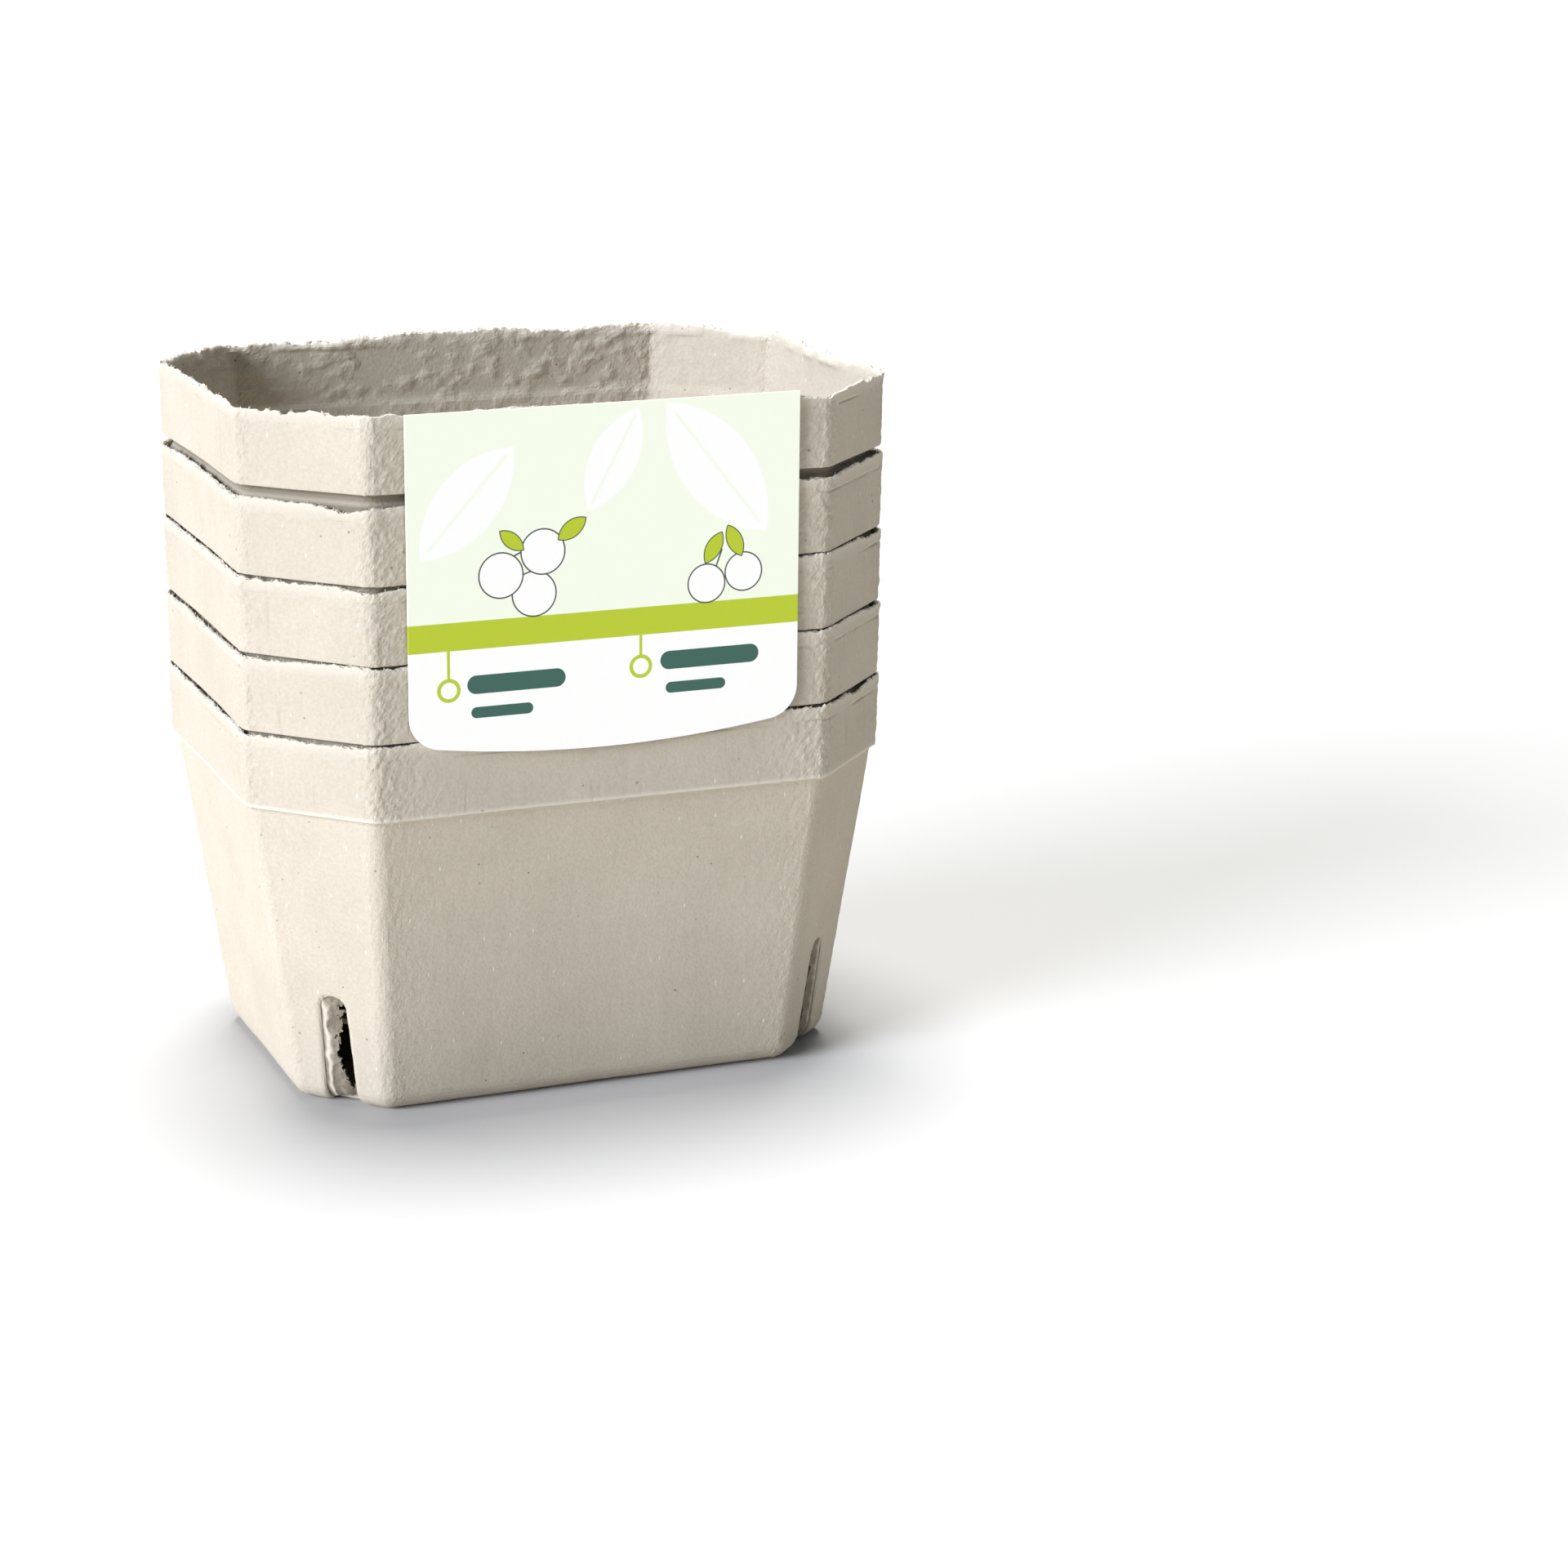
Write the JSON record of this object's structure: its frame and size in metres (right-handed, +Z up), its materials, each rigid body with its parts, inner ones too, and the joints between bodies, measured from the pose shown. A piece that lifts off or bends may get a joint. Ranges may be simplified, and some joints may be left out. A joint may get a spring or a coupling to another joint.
{
  "type": "stack of berry punnets",
  "caption": "Stack of nested moulded-pulp berry punnets with cut corners, a stacking collar and vent slots, carrying a rounded card label on the front.",
  "frame": {"origin": "centre of the bottom punnet's foot, on the surface that the stack stands on", "axes": "+X along the punnets' length, +Y from the labelled front to the back, +Z up"},
  "size_m": [0.1841, 0.1394, 0.1939],
  "materials": {
    "pulp": "matte",
    "label_card": "matte"
  },
  "bodies": {
    "root": {"punnet_1": "pulp", "punnet_2": "pulp", "punnet_3": "pulp", "punnet_4": "pulp", "punnet_5": "pulp", "front_label": "label_card"}
  },
  "joints": []
}
